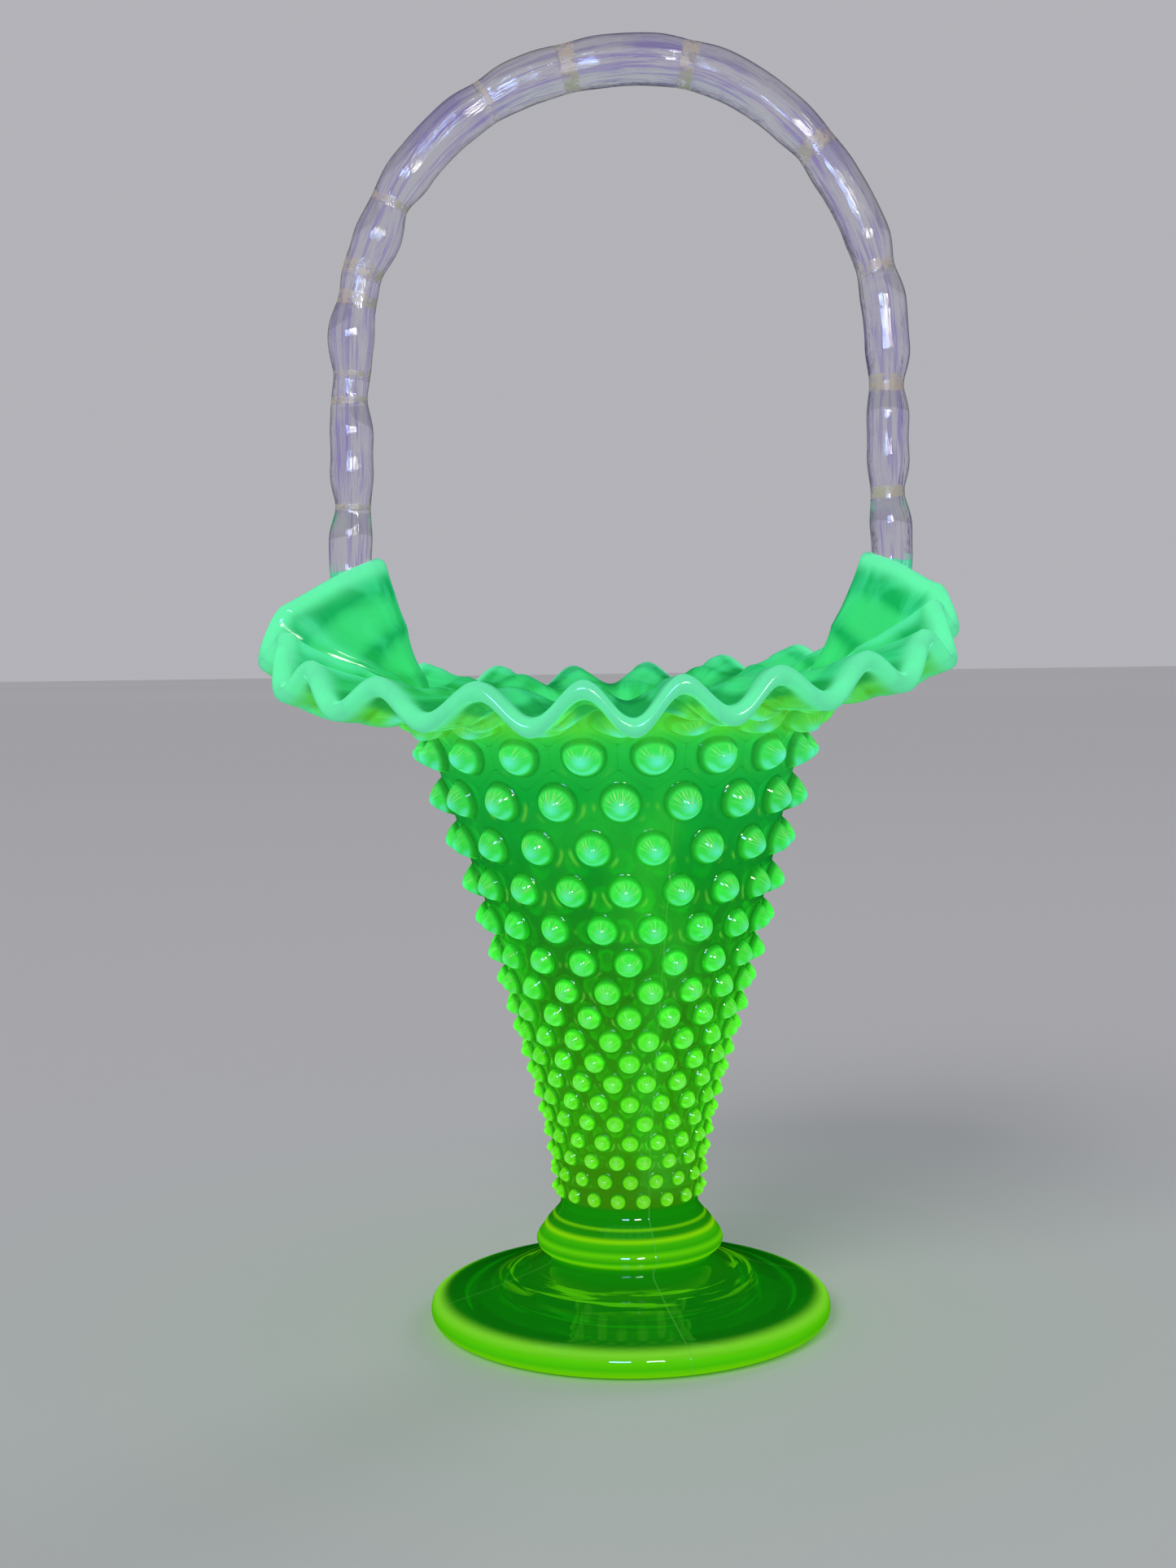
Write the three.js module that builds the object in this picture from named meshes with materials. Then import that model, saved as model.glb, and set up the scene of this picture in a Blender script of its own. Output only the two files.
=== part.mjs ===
// Hobnail basket vase in uranium glass, with an applied clear glass handle.
// Millimetres, +Z up. The origin is on the table, under the middle of the foot.
// Azimuths are in degrees from the front (-Y), growing towards +X.

import * as THREE from 'three';

// Foot and collar
const FOOT_RADIUS = 51;
const FOOT_EDGE_HEIGHT = 7;
const STANDING_RING = [41, 47.5];
const RECESS_DEPTH = 2.2;
// Outline of the foot's edge, then its sloping top, as [radius, height]
const FOOT_EDGE = [[50, 1], [FOOT_RADIUS, 3], [50, 5.4], [46.5, FOOT_EDGE_HEIGHT]];
const FOOT_TOP = [[36, 10.2], [26, 13.6]];
const COLLAR_RADIUS = 23.7;
const COLLAR_HEIGHT = 20.3;
const NECK_RADIUS = 21.2;
const NECK_HEIGHT = 15.8;
// Outline of the neck and collar, as [radius, height]
const COLLAR = [
  [NECK_RADIUS, NECK_HEIGHT],
  [NECK_RADIUS + 0.8, NECK_HEIGHT + 1.8],
  [COLLAR_RADIUS, COLLAR_HEIGHT],
  [COLLAR_RADIUS - 1, COLLAR_HEIGHT + 2.7],
  [COLLAR_RADIUS - 3.6, COLLAR_HEIGHT + 5.4],
  [17.8, COLLAR_HEIGHT + 8],
];

// Tapered wall of the bowl, which bends out of a nearly straight stem into a cone
const WALL_START = 30.5;
const WALL_TOP = 147.5;
const STEM_RADIUS = 17;
const CONE_SLOPE = 0.2865;
const BEND_HEIGHT = 43.9;
const BEND_SOFTNESS = 9;
const WALL_THICKNESS = 4.4;
const CAVITY_FLOOR = 36;
const CAVITY_HEIGHTS = [WALL_TOP, 120, 95, 75, 60, 48];
const FLOOR_FILLET = [3, 1.6];
const LEAN = 1.9;
const LEAN_START = 90;

// Hobnails, in staggered rows
const HOBNAILS_PER_ROW = 18;
const HOBNAIL_ROWS = 17;
const FIRST_ROW_HEIGHT = 33.6;
const SMALLEST_ROW_STEP = 4.9;
const ROW_STEP_GROWTH = 6.4;
const STEP_GROWTH_HEIGHT = 93;
const STEP_GROWTH_SOFTNESS = 11;
const HOBNAIL_HEIGHT_RATIO = 0.118;

// Crimped rim, raised into a lobe at each handle leg
const RIM_RADIUS = 86;
const RIM_OVALITY = 2.5;
const RIM_HEIGHT = 157.2;
const RIM_THICKNESS = 3.8;
const RIM_TILT = 0.036;
const BACK_RISE = 4;
const LOBE_SHOULDER = 20;
const SHOULDER_SPREAD = 30;
const LOBE_PEAK = 15.3;
const PEAK_SPREAD = 14;
const LOBE_PINCH = 26.5;
const PINCH_SPREAD = 10.5;
const CRIMP_FREE_SPREAD = 7;
const CRIMPS = 24;
const CRIMP_HEIGHT = 4.1;
const CRIMP_FADE = 1.6;
// Slope at the edge, then reach of the flare's curve from the wall and from the edge: each is
// given for the low rim and for the top of a lobe
const EDGE_SLOPE = [-10, 76];
const SLOPE_FADE = 0.8;
const REACH_FROM_WALL = [14, 17];
const REACH_FROM_EDGE = [22, 15];

// Handle
const HANDLE_RADIUS = 5.3;
const HANDLE_TOP_RADIUS = 6;
const LEG_X = 67.6;
const LEG_RADIUS = 4.9;
const LEG_DISTANCE = 110;
// Centre line of the lower leg, as [x, z], from its end at the flare
const LOWER_LEG = [[60.6, 166.5], [64.4, 174], [68, 183], [69.4, 192], [68.6, 205], [LEG_X, 222]];
const ARCH_SPRING = 240;
const ARCH_TOP = 316.2;
const ARCH_SKEW = 2;
const ARCH_EXPONENT = 2.1;
const NODE_DEPTH = 0.24;
const NODE_HALF_WIDTH = 5;
const END_SHRINK = 0.6;
const END_CAP = 1.5;
// Pinched nodes, as distances along the rod from its middle; the left side is negative
const NODES = [-149, -122, -115, -98, -90, -72, -37, -15, 15, 53, 87, 116, 143];

// Mesh density
const FOOT_COLUMNS = 48;
const HOBNAIL_COLUMNS = 4 * HOBNAILS_PER_ROW;
const RIM_COLUMNS = 4 * CRIMPS;
const ROD_SIDES = 12;
const ROD_STEP = 5;

const radians = THREE.MathUtils.degToRad;

// Outer radius of the plain wall, under the hobnails, at a height.
function wallRadius(z) {
  const bend = Math.log(1 + Math.exp((z - BEND_HEIGHT) / BEND_SOFTNESS));
  return STEM_RADIUS + CONE_SLOPE * BEND_SOFTNESS * bend;
}

// Sideways lean of the hand-finished bowl, none at the collar and full at the rim.
function leanAt(z) {
  const s = THREE.MathUtils.smoothstep(z, LEAN_START, RIM_HEIGHT);
  return -LEAN * s;
}

// A point at an azimuth, radius and height.
function polar(azimuth, radius, z) {
  const a = radians(azimuth);
  return new THREE.Vector3(radius * Math.sin(a) + leanAt(z), -radius * Math.cos(a), z);
}

// A ring of points, where profile(azimuth) gives [radius, height].
function ring(columns, profile) {
  const points = [];
  for (let i = 0; i < columns; i += 1) {
    const azimuth = (360 * i) / columns;
    points.push(polar(azimuth, ...profile(azimuth)));
  }
  return points;
}

// Middle of the rim's edge at an azimuth: its radius, its height and the slope it leaves at.
function rimAt(azimuth) {
  const turned = Math.abs(((azimuth + 180) % 360) - 180);
  const fromLobe = Math.abs(turned - 90);
  const shoulder = LOBE_SHOULDER * Math.exp(-fromLobe / SHOULDER_SPREAD);
  const rise = shoulder + LOBE_PEAK * Math.exp(-((fromLobe / PEAK_SPREAD) ** 4));
  const pinch = Math.exp(-((fromLobe / PINCH_SPREAD) ** 3));
  const crimped = 1 - Math.exp(-((fromLobe / CRIMP_FREE_SPREAD) ** 4));
  const side = Math.sin(radians(azimuth));
  const radius = RIM_RADIUS + RIM_OVALITY * side ** 2 - (LOBE_PINCH - LEAN * side) * pinch;
  const tilt = RIM_TILT * radius * side * (1 - pinch);
  const backRise = BACK_RISE * (1 - Math.cos(radians(azimuth))) / 2;
  const lobe = rise / (LOBE_SHOULDER + LOBE_PEAK);
  return {
    radius,
    height: RIM_HEIGHT + rise + tilt + backRise,
    slope: THREE.MathUtils.lerp(...EDGE_SLOPE, lobe ** SLOPE_FADE),
    crimp: -CRIMP_HEIGHT * Math.cos(radians(CRIMPS * azimuth)) * crimped,
    lobe,
  };
}

// A point of the flare from the top of the wall (s = 0) to the rim (s = 1), offset to the
// outside (side = 1) or the inside (side = -1) of its middle surface.
function flare(azimuth, s, side) {
  const rim = rimAt(azimuth);
  const wallTilt = Math.atan2(1, CONE_SLOPE);
  const start = new THREE.Vector2(wallRadius(WALL_TOP) - WALL_THICKNESS / 2, WALL_TOP);
  const end = new THREE.Vector2(rim.radius, rim.height);
  const reachOut = THREE.MathUtils.lerp(...REACH_FROM_WALL, rim.lobe);
  const reachBack = THREE.MathUtils.lerp(...REACH_FROM_EDGE, rim.lobe);
  const slope = radians(rim.slope);
  const out = start.clone().add(new THREE.Vector2(Math.cos(wallTilt), Math.sin(wallTilt))
    .multiplyScalar(reachOut));
  const back = end.clone().sub(new THREE.Vector2(Math.cos(slope), Math.sin(slope))
    .multiplyScalar(reachBack));
  const curve = new THREE.CubicBezierCurve(start, out, back, end);
  const point = curve.getPoint(s);
  const along = curve.getTangent(s);
  const half = THREE.MathUtils.lerp(WALL_THICKNESS, RIM_THICKNESS, s) / 2;
  const outward = side * half - rim.crimp * s ** CRIMP_FADE;
  return [point.x + outward * along.y, point.y - outward * along.x];
}

// Heights of the hobnail rows, which stand further apart as the bowl widens.
function rowHeights() {
  const heights = [FIRST_ROW_HEIGHT];
  while (heights.length < HOBNAIL_ROWS) {
    const z = heights[heights.length - 1];
    const growth = 1 / (1 + Math.exp((STEP_GROWTH_HEIGHT - z) / STEP_GROWTH_SOFTNESS));
    heights.push(z + SMALLEST_ROW_STEP + ROW_STEP_GROWTH * growth);
  }
  return heights;
}

// Rings through one row of hobnails: a plain ring under it, then the ring of its tips.
function hobnailRings(z, below, staggered) {
  const shift = staggered ? 2 : 0;
  const plain = ring(HOBNAIL_COLUMNS, () => [wallRadius(below), below]);
  const tips = ring(HOBNAIL_COLUMNS, (azimuth) => {
    const column = Math.round((azimuth * HOBNAIL_COLUMNS) / 360);
    const onTip = (column + shift) % 4 === 0;
    return [wallRadius(z) * (onTip ? 1 + HOBNAIL_HEIGHT_RATIO : 1), z];
  });
  return [plain, tips];
}

// Triangles between two rings, which may have different numbers of points. Where the points
// are level, the shared edge joins the two that stand further out, such as a hobnail's tip.
function stitch(points, index, startA, countA, startB, countB) {
  const reach = (i) => Math.hypot(points[i].x, points[i].y);
  let a = 0;
  let b = 0;
  while (a < countA || b < countB) {
    const nowA = startA + (a % countA);
    const nowB = startB + (b % countB);
    const nextA = startA + ((a + 1) % countA);
    const nextB = startB + ((b + 1) % countB);
    const lead = (a + 1) * countB - (b + 1) * countA;
    const edgeOnA = reach(nextA) + reach(nowB) >= reach(nowA) + reach(nextB);
    if (b === countB || (a < countA && (lead < 0 || (lead === 0 && edgeOnA)))) {
      index.push(nowA, nextA, nowB);
      a += 1;
    } else {
      index.push(nowA, nextB, nowB);
      b += 1;
    }
  }
}

// One closed body: a point, a row of rings and another point.
function skin(first, rings, last) {
  const points = [first];
  const index = [];
  rings.forEach((level, r) => {
    const start = points.length;
    points.push(...level);
    if (r > 0) {
      const before = rings[r - 1].length;
      stitch(points, index, start - before, before, start, level.length);
    }
  });
  const lastRing = rings[rings.length - 1].length;
  points.push(last);
  for (let i = 0; i < rings[0].length; i += 1) {
    index.push(0, 1 + ((i + 1) % rings[0].length), 1 + i);
  }
  const start = points.length - 1 - lastRing;
  for (let i = 0; i < lastRing; i += 1) {
    index.push(start + i, start + ((i + 1) % lastRing), points.length - 1);
  }
  const geometry = new THREE.BufferGeometry().setFromPoints(points);
  geometry.setIndex(index);
  geometry.computeVertexNormals();
  return geometry;
}

// The pressed and hand-crimped vase: foot, collar, hobnail wall, rim and cavity in one piece.
function vaseGeometry() {
  const round = (radius, z) => ring(FOOT_COLUMNS, () => [radius, z]);
  const rings = [
    round(STANDING_RING[0] / 2, RECESS_DEPTH * 0.8),
    round(STANDING_RING[0], 0),
    round(STANDING_RING[1], 0),
    ...[...FOOT_EDGE, ...FOOT_TOP, ...COLLAR].map(([radius, z]) => round(radius, z)),
  ];
  let below = WALL_START;
  rowHeights().forEach((z, row) => {
    if (row > 0) below = (z + below) / 2;
    rings.push(...hobnailRings(z, below, row % 2 === 0));
    below = z;
  });
  for (const s of [0.12, 0.3, 0.5, 0.7, 0.87]) rings.push(ring(RIM_COLUMNS, (a) => flare(a, s, 1)));
  for (const side of [0.8, 0, -0.8]) rings.push(ring(RIM_COLUMNS, (a) => flare(a, 1, side)));
  for (const s of [0.87, 0.7, 0.5, 0.3]) rings.push(ring(RIM_COLUMNS, (a) => flare(a, s, -1)));
  for (const z of CAVITY_HEIGHTS) {
    rings.push(round(wallRadius(z) - WALL_THICKNESS, z));
  }
  const floorRadius = wallRadius(CAVITY_FLOOR) - WALL_THICKNESS - FLOOR_FILLET[0];
  rings.push(round(floorRadius, CAVITY_FLOOR + FLOOR_FILLET[1]));
  const underside = new THREE.Vector3(0, 0, RECESS_DEPTH);
  return skin(underside, rings, new THREE.Vector3(0, 0, CAVITY_FLOOR));
}

// Centre line of the handle, from the end of the left leg over the arch to the right one.
function handlePath() {
  const arch = [];
  for (let angle = 0; angle <= 180; angle += 15) {
    const up = Math.sin(radians(angle)) ** (2 / ARCH_EXPONENT);
    const across = Math.cos(radians(angle));
    const x = -Math.sign(across) * LEG_X * Math.abs(across) ** (2 / ARCH_EXPONENT);
    arch.push([x + ARCH_SKEW * up, ARCH_SPRING + (ARCH_TOP - ARCH_SPRING) * up]);
  }
  const right = LOWER_LEG.slice().reverse();
  const outline = [...LOWER_LEG.map(([x, z]) => [-x, z]), ...arch, ...right];
  return new THREE.CatmullRomCurve3(outline.map(([x, z]) => new THREE.Vector3(x, 0, z)));
}

// Radius of the rod at a distance along it from its middle.
function rodRadius(distance) {
  const full = THREE.MathUtils.lerp(HANDLE_TOP_RADIUS, HANDLE_RADIUS,
    THREE.MathUtils.smoothstep(Math.abs(distance), 0, LEG_DISTANCE));
  const nearest = Math.min(...NODES.map((node) => Math.abs(distance - node)));
  return full * (1 - NODE_DEPTH * Math.exp(-((nearest / NODE_HALF_WIDTH) ** 2)));
}

// The handle: a rod pulled to an arch, pinched at its nodes, with a rounded end on each leg.
function handleGeometry() {
  const path = handlePath();
  path.arcLengthDivisions = 600;
  const length = path.getLength();
  const steps = Math.round(length / ROD_STEP);
  const rings = [];
  for (let i = 0; i <= steps; i += 1) {
    const centre = path.getPointAt(i / steps);
    const along = path.getTangentAt(i / steps);
    const outward = new THREE.Vector3(-along.z, 0, along.x);
    const distance = (i / steps - 0.5) * length;
    const endRound = i === 0 || i === steps ? END_SHRINK : 1;
    const legRadius = Math.abs(distance) > LEG_DISTANCE ? LEG_RADIUS : HANDLE_TOP_RADIUS;
    const radius = Math.min(rodRadius(distance), legRadius) * endRound;
    const points = [];
    for (let k = 0; k < ROD_SIDES; k += 1) {
      const a = (2 * Math.PI * k) / ROD_SIDES;
      points.push(centre.clone()
        .addScaledVector(outward, radius * Math.cos(a))
        .add(new THREE.Vector3(0, -radius * Math.sin(a), 0)));
    }
    rings.push(points);
  }
  const end = (t, side) => path.getPointAt(t)
    .addScaledVector(path.getTangentAt(t), side * END_CAP);
  return skin(end(0, -1), rings, end(1, 1));
}

// Geometry with its faces turned outwards.
function outward(geometry) {
  const p = geometry.attributes.position;
  const index = geometry.index.array;
  const corner = (i) => new THREE.Vector3().fromBufferAttribute(p, i);
  let volume = 0;
  for (let i = 0; i < index.length; i += 3) {
    volume += corner(index[i]).dot(corner(index[i + 1]).cross(corner(index[i + 2])));
  }
  if (volume < 0) {
    for (let i = 0; i < index.length; i += 3) {
      [index[i], index[i + 1]] = [index[i + 1], index[i]];
    }
    geometry.computeVertexNormals();
  }
  return geometry;
}

function namedMesh(name, geometry, finish) {
  const mesh = new THREE.Mesh(outward(geometry), new THREE.MeshStandardMaterial(finish));
  mesh.name = name;
  return mesh;
}

const basket = new THREE.Group();
basket.add(namedMesh('vase_body', vaseGeometry(),
  { color: 0x3fd04a, emissive: 0x0a5a10, roughness: 0.08, metalness: 0 }));
basket.add(namedMesh('handle', handleGeometry(),
  { color: 0xe6e4ee, roughness: 0.04, metalness: 0, transparent: true, opacity: 0.4 }));

export default basket;
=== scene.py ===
"""A footed hobnail basket vase in glowing uranium glass, with an applied clear glass handle."""

import math

import bpy
import mathutils
import numpy as np
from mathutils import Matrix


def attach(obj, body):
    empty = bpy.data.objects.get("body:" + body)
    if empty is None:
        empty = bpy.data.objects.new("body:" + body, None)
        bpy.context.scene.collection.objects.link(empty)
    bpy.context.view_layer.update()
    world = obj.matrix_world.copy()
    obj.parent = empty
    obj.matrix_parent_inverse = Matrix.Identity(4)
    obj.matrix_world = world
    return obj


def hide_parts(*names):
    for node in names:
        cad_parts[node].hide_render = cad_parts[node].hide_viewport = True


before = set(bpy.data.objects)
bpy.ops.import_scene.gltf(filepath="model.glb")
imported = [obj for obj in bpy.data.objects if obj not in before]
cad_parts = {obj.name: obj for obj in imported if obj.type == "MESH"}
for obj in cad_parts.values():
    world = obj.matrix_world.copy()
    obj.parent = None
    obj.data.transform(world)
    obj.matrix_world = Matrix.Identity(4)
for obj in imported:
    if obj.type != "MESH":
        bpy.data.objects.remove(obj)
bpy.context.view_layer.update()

# Everything below is in metres. Azimuths are in degrees from the front (-Y) towards +X.
MM = 0.001

# Wall of the bowl
STEM_RADIUS = 17 * MM
CONE_SLOPE = 0.2865
BEND_HEIGHT = 43.9 * MM
BEND_SOFTNESS = 9 * MM
WALL_START = 30.5 * MM
WALL_TOP = 147.5 * MM
WALL_THICKNESS = 4.4 * MM
CAVITY_FLOOR = 36 * MM
CAVITY_FILLET_TOP = 45 * MM
LEAN = 2.2 * MM
LEAN_START = 90 * MM

# Hobnails. Their height and radius are shares of the wall's radius.
HOBNAILS_PER_ROW = 18
HOBNAIL_ROWS = 17
FIRST_ROW = 33.6 * MM
SMALLEST_STEP = 4.9 * MM
STEP_GROWTH = 6.4 * MM
GROWTH_HEIGHT = 93 * MM
GROWTH_SOFTNESS = 11 * MM
HOBNAIL_HEIGHT = 0.118
HOBNAIL_RADIUS = 0.1135
FLARE_ROW_STEP = 12.4 * MM
FLARE_GROWTH = 0.14
FLARE_WIDENING = 0.12
PRINT_DEPTH = 0.9 * MM

# Crimped rim. Slopes are in degrees up from level. A spread is how many degrees a feature
# reaches to both sides of its middle.
RIM_RADIUS = 84.9 * MM
RIM_SQUARENESS = 5.8 * MM
RIM_HEIGHT = 155.4 * MM
RIM_THICKNESS = 4.3 * MM
RIM_TILT = 0.035
BACK_RISE = 4 * MM
RIM_SLOPE = -10
LOBE_SLOPE = 76
LOBE_SHOULDER = 27.5 * MM
SHOULDER_ROUNDING = 10
SHOULDER_SPREAD = 27
LOBE_PEAK = 9 * MM
PEAK_SPREAD = 6.8
LOBE_PINCH = 22.3 * MM
PINCH_SHARE = 2.9 * MM
PINCH_SPREAD = 6.65
SHOULDER_DRAW = 3 * MM
DRAW_AZIMUTH = 75
DRAW_SPREAD = 13
CRIMPS = 24
CRIMP_HEIGHT = 3.5 * MM
LOBE_CRIMP = 1.6 * MM
LOBE_CRIMP_SPREAD = 34
FRONT_CRIMP = 0.8 * MM
FRONT_CRIMP_SPREAD = 20
LEFT_FREE_SPREAD = 7.8
RIGHT_FREE_SPREAD = 10.5
CRIMP_DRIFT = 2.2
DRIFT_SPREAD = 35
FOLD_UNIT = 4 * MM

# Heights between which the glass turns from clear green to milky
MILK_START = 85 * MM
MILK_FULL = 150 * MM

# Mould seams
FIRST_SEAM = 15
SEAMS = 4

# Refraction of soda-lime glass
GLASS_IOR = 1.5

# Mesh density
COLUMNS = 32 * HOBNAILS_PER_ROW
FLARE_RINGS = 64

# Floor and lamps
FLOOR_REACH = 60
FLOOR_DROP = 0.2 * MM
AIM_HEIGHT = 160 * MM
SUN_SOFTNESS = 25

# Camera: its place, its tilt down and roll in degrees, and its lens in millimetres
EYE = (-0.00915, -0.5094, 0.1656)
PITCH = 3.28
ROLL = -0.78
LENS = 46.26

azimuths = np.arange(COLUMNS) * 360 / COLUMNS


def smooth(value, low, high):
    t = np.clip((value - low) / (high - low), 0, 1)
    return t * t * (3 - 2 * t)


def mix(a, b, t):
    return a + (b - a) * t


def wall_radius(z):
    past_bend = (z - BEND_HEIGHT) / BEND_SOFTNESS
    return STEM_RADIUS + CONE_SLOPE * BEND_SOFTNESS * np.log1p(np.exp(past_bend))


def wall_slope(z):
    return CONE_SLOPE / (1 + np.exp(-(z - BEND_HEIGHT) / BEND_SOFTNESS))


def place(azimuth, radius, z):
    """Points at an azimuth, radius and height, with the lean of the hand-finished bowl."""
    a = np.radians(azimuth)
    lean = -LEAN * smooth(z, LEAN_START, RIM_HEIGHT)
    x = radius * np.sin(a) + lean
    y = -radius * np.cos(a)
    return np.stack(np.broadcast_arrays(x, y, z), axis=-1)


def from_lobe(azimuth):
    """Degrees between an azimuth and the nearer of the two lobes."""
    turned = np.abs((azimuth + 180) % 360 - 180)
    return np.abs(turned - 90)


def rim_at(azimuth):
    """Middle of the rim's edge: radius, height, slope, crimp and how far up a lobe it is."""
    away = from_lobe(azimuth)
    turned = np.abs((azimuth + 180) % 360 - 180)
    side = np.sin(np.radians(azimuth))
    past_top = np.hypot(away, SHOULDER_ROUNDING) - SHOULDER_ROUNDING
    rise = LOBE_SHOULDER * np.exp(-past_top / SHOULDER_SPREAD)
    rise = rise + LOBE_PEAK * np.exp(-((away / PEAK_SPREAD) ** 6))
    pinch = np.exp(-((away / PINCH_SPREAD) ** 4))
    radius = RIM_RADIUS + RIM_SQUARENESS * np.sin(np.radians(2 * azimuth)) ** 2
    radius = radius - (LOBE_PINCH - PINCH_SHARE * side) * pinch
    off_draw = (turned * np.sign(side) - DRAW_AZIMUTH) / DRAW_SPREAD
    radius = radius - SHOULDER_DRAW * np.exp(-(off_draw**4))
    tilt = RIM_TILT * radius * side * (1 - pinch)
    back = BACK_RISE * (1 - np.cos(np.radians(azimuth))) / 2
    lobe = rise / (LOBE_SHOULDER + LOBE_PEAK)
    slope = np.radians(mix(RIM_SLOPE, LOBE_SLOPE, lobe**0.8))
    near_lobe = np.exp(-((away / LOBE_CRIMP_SPREAD) ** 4))
    depth = CRIMP_HEIGHT + LOBE_CRIMP * near_lobe
    depth = depth + FRONT_CRIMP * np.exp(-((turned / FRONT_CRIMP_SPREAD) ** 2))
    drift = CRIMP_DRIFT * np.exp(-((turned / DRIFT_SPREAD) ** 2))
    phase = np.radians(CRIMPS * (azimuth - drift))
    wave = 0.18 * near_lobe * (np.cos(2 * phase) - 1) - np.cos(phase)
    free = mix(LEFT_FREE_SPREAD, RIGHT_FREE_SPREAD, (1 + side) / 2)
    crimp = depth * wave * (1 - np.exp(-((away / free) ** 6)))
    return radius, RIM_HEIGHT + rise + tilt + back, slope, crimp, lobe


def flare_middle(azimuth, s):
    """Middle surface of the flare, from the wall (s = 0) to the rim (s = 1), before crimping."""
    radius, height, slope, _, lobe = rim_at(azimuth)
    tilt = math.atan2(1, CONE_SLOPE)
    reach_out = mix(14, 17, lobe) * MM
    reach_back = mix(22, 15, lobe) * MM
    wall_middle = wall_radius(WALL_TOP) - WALL_THICKNESS / 2
    p0 = np.stack([np.full_like(radius, wall_middle), np.full_like(radius, WALL_TOP)])
    p1 = p0 + reach_out * np.array([[math.cos(tilt)], [math.sin(tilt)]])
    leaving = np.stack([np.cos(slope), np.sin(slope)])
    p3 = np.stack([radius, height]) - RIM_THICKNESS / 2 * leaving
    p2 = p3 - (reach_back - RIM_THICKNESS / 2) * leaving
    r, z = (1 - s) ** 3 * p0 + 3 * (1 - s) ** 2 * s * p1 + 3 * (1 - s) * s**2 * p2 + s**3 * p3
    return place(azimuth, r, z)


def unit(vectors):
    return vectors / np.linalg.norm(vectors, axis=-1, keepdims=True)


def flare(s):
    """Crimped middle of the flare at s, directions up it and out of its back, and its fold."""
    step = 0.01
    middle = flare_middle(azimuths, s)
    around = flare_middle(azimuths + 0.4, s) - flare_middle(azimuths - 0.4, s)
    up = flare_middle(azimuths, min(s + step, 1)) - flare_middle(azimuths, max(s - step, 0))
    outward = unit(np.cross(around, up))
    crimp = rim_at(azimuths)[3] * mix(s**1.4, s**0.8, smooth(from_lobe(azimuths), 45, 25))
    lifted = unit(np.array([0, 0, 0.8]) - outward)
    return middle + crimp[:, None] * lifted, unit(up), outward, crimp / FOLD_UNIT


def row_heights():
    """Heights of the hobnails' tips, row by row from the collar."""
    heights = [FIRST_ROW]
    while len(heights) < HOBNAIL_ROWS:
        z = heights[-1]
        growth = 1 / (1 + math.exp((GROWTH_HEIGHT - z) / GROWTH_SOFTNESS))
        heights.append(z + SMALLEST_STEP + STEP_GROWTH * growth)
    return heights


def hobnail_shape(distance):
    """Height of a hobnail, 1 at its rounded tip and 0 at its base circle (distance = 1)."""
    d = np.clip(distance, 0, 1)
    tip = np.sqrt(d**2 + 0.04) - 0.2
    cone = 1 - tip / (math.sqrt(1.04) - 0.2)
    dome = (1 - d**2) ** 0.75
    return 0.36 * cone + 0.64 * dome


def base_of(tip):
    """Height where the axis of a hobnail with its tip at this height meets the wall."""
    lift = HOBNAIL_HEIGHT * wall_radius(tip) * wall_slope(tip) / math.hypot(1, wall_slope(tip))
    return tip + lift


def nearest_column(azimuth, shifted):
    """Signed degrees from the nearest hobnail of a row, which may be shifted by half a pitch."""
    pitch = 360 / HOBNAILS_PER_ROW
    start = pitch / 2 if shifted else 0
    return (azimuth - start + pitch / 2) % pitch - pitch / 2


class Skin:
    """A closed surface gathered ring by ring, with values painted on its points."""

    def __init__(self, first, columns, labels):
        self.columns = columns
        self.labels = labels
        self.points = [np.array([first])]
        self.marks = []

    def ring(self, points, **marks):
        self.points.append(points)
        rows = [np.broadcast_to(marks.get(label, 0.0), (self.columns,)) for label in self.labels]
        self.marks.append(np.stack(rows))

    def build(self, name, last):
        rings = len(self.points) - 1
        n = self.columns
        points = np.concatenate([*self.points, [last]])
        k = np.arange(n)
        after = (k + 1) % n
        faces = []
        for r in range(rings - 1):
            low = 1 + r * n
            high = low + n
            quads = np.stack([low + k, low + after, high + after, high + k], axis=1)
            faces.append(quads)
        mesh = bpy.data.meshes.new(name)
        top = 1 + (rings - 1) * n
        fans = np.concatenate([
            np.stack([0 * k, 1 + after, 1 + k], axis=1),
            np.stack([0 * k + len(points) - 1, top + k, top + after], axis=1),
        ])
        quads = np.concatenate(faces)
        corners = np.concatenate([quads.ravel(), fans.ravel()])
        starts = np.concatenate([
            np.arange(len(quads)) * 4,
            len(quads) * 4 + np.arange(len(fans)) * 3,
        ])
        mesh.vertices.add(len(points))
        mesh.vertices.foreach_set("co", points.astype(np.float32).ravel())
        mesh.loops.add(len(corners))
        mesh.loops.foreach_set("vertex_index", corners.astype(np.int32))
        mesh.polygons.add(len(starts))
        mesh.polygons.foreach_set("loop_start", starts.astype(np.int32))
        mesh.update(calc_edges=True)
        mesh.validate()
        marks = np.concatenate(self.marks, axis=1)
        for label, row in zip(self.labels, marks):
            values = np.concatenate([[row[0]], row, [row[-1]]])
            layer = mesh.attributes.new(label, "FLOAT", "POINT")
            layer.data.foreach_set("value", values.astype(np.float32))
        mesh.shade_smooth()
        piece = bpy.data.objects.new(name, mesh)
        bpy.context.scene.collection.objects.link(piece)
        return piece


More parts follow.
